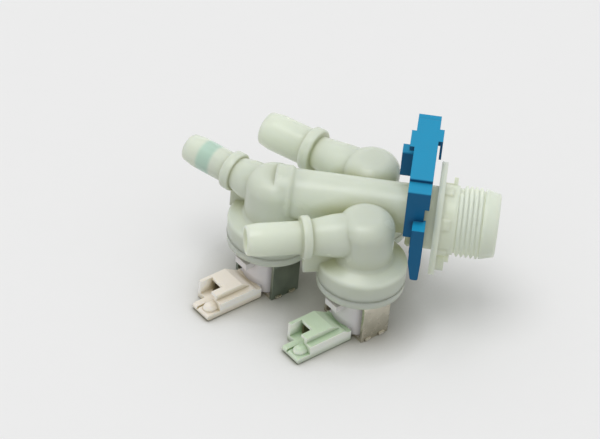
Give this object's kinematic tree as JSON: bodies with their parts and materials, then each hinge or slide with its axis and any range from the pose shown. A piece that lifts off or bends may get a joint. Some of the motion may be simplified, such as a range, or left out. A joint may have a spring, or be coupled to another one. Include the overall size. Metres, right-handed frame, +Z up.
{
  "type": "washing machine inlet valve",
  "caption": "Solenoid water inlet valve with a threaded hose inlet, blue clip bracket, domed chambers with hose stubs and plug-in coils under them.",
  "frame": {"origin": "on the inlet axis, in the plane where the flange bears on the cabinet's back panel", "axes": "+X out of the inlet, +Z up from the coils to the hose stubs, +Y to the side of the two stubs that splay the same way"},
  "size_m": [0.1202, 0.0895, 0.0715],
  "materials": {
    "body_plastic": "waxy off-white polypropylene",
    "bracket_plastic": "blue acetal, lightly polished",
    "white_plastic": "plain moulded plastic",
    "rubber": "matt black rubber",
    "strainer_plastic": "fine moulded plastic",
    "teal_plastic": "teal moulded plastic",
    "plunger_iron": "turned soft iron",
    "spring_steel": "drawn spring wire",
    "yoke_steel": "zinc plated sheet steel",
    "copper": "enamelled copper wire",
    "coil_plastic": "grey overmould, satin",
    "terminal_brass": "tinned brass blade",
    "mint_plastic": "mint moulded plastic",
    "cream_plastic": "cream moulded plastic"
  },
  "bodies": {
    "valve": {"valve_body": "body_plastic", "mounting_bracket": "bracket_plastic", "regulator_holder": "white_plastic", "regulator_disc": "rubber", "inlet_strainer": "strainer_plastic", "outlet_restrictor": "teal_plastic", "front_bonnet": "body_plastic", "front_diaphragm": "rubber", "front_plunger_spring": "spring_steel", "front_pole_bushes": "yoke_steel", "front_yoke_frame": "yoke_steel", "front_yoke_base": "yoke_steel", "front_coil_winding": "copper", "front_coil_overmould": "coil_plastic", "front_terminals": "terminal_brass", "front_coil_bobbin": "mint_plastic", "rear_bonnet": "body_plastic", "rear_diaphragm": "rubber", "rear_plunger_spring": "spring_steel", "rear_pole_bushes": "yoke_steel", "rear_yoke_frame": "yoke_steel", "rear_yoke_base": "yoke_steel", "rear_coil_winding": "copper", "rear_coil_overmould": "coil_plastic", "rear_terminals": "terminal_brass", "rear_coil_bobbin": "white_plastic", "end_bonnet": "body_plastic", "end_diaphragm": "rubber", "end_plunger_spring": "spring_steel", "end_pole_bushes": "yoke_steel", "end_yoke_frame": "yoke_steel", "end_yoke_base": "yoke_steel", "end_coil_winding": "copper", "end_coil_overmould": "coil_plastic", "end_terminals": "terminal_brass", "end_coil_bobbin": "cream_plastic"},
    "front_plunger_set": {"front_plunger": "plunger_iron", "front_plunger_tip": "rubber"},
    "front_seal_set": {"front_diaphragm_insert": "white_plastic"},
    "rear_plunger_set": {"rear_plunger": "plunger_iron", "rear_plunger_tip": "rubber"},
    "rear_seal_set": {"rear_diaphragm_insert": "white_plastic"},
    "end_plunger_set": {"end_plunger": "plunger_iron", "end_plunger_tip": "rubber"},
    "end_seal_set": {"end_diaphragm_insert": "white_plastic"}
  },
  "joints": [
    {"name": "front_plunger_lift", "type": "slide", "parent": "valve", "child": "front_plunger_set", "axis": [0, 0, 1], "range_m": [-0.003, 0], "stiffness_N_per_m": 150, "springref_m": 0.002, "deforming": ["front_plunger_spring"]},
    {"name": "front_diaphragm_lift", "type": "slide", "parent": "valve", "child": "front_seal_set", "axis": [0, 0, 1], "range_m": [-0.0018, 0], "deforming": ["front_diaphragm"]},
    {"name": "rear_plunger_lift", "type": "slide", "parent": "valve", "child": "rear_plunger_set", "axis": [0, 0, 1], "range_m": [-0.003, 0], "stiffness_N_per_m": 150, "springref_m": 0.002, "deforming": ["rear_plunger_spring"]},
    {"name": "rear_diaphragm_lift", "type": "slide", "parent": "valve", "child": "rear_seal_set", "axis": [0, 0, 1], "range_m": [-0.0018, 0], "deforming": ["rear_diaphragm"]},
    {"name": "end_plunger_lift", "type": "slide", "parent": "valve", "child": "end_plunger_set", "axis": [0, 0, 1], "range_m": [-0.003, 0], "stiffness_N_per_m": 150, "springref_m": 0.002, "deforming": ["end_plunger_spring"]},
    {"name": "end_diaphragm_lift", "type": "slide", "parent": "valve", "child": "end_seal_set", "axis": [0, 0, 1], "range_m": [-0.0018, 0], "deforming": ["end_diaphragm"]}
  ],
  "couplings": [
    {"joint": "front_diaphragm_lift", "follows": "front_plunger_lift", "ratio": 0.6},
    {"joint": "rear_diaphragm_lift", "follows": "rear_plunger_lift", "ratio": 0.6},
    {"joint": "end_diaphragm_lift", "follows": "end_plunger_lift", "ratio": 0.6}
  ]
}
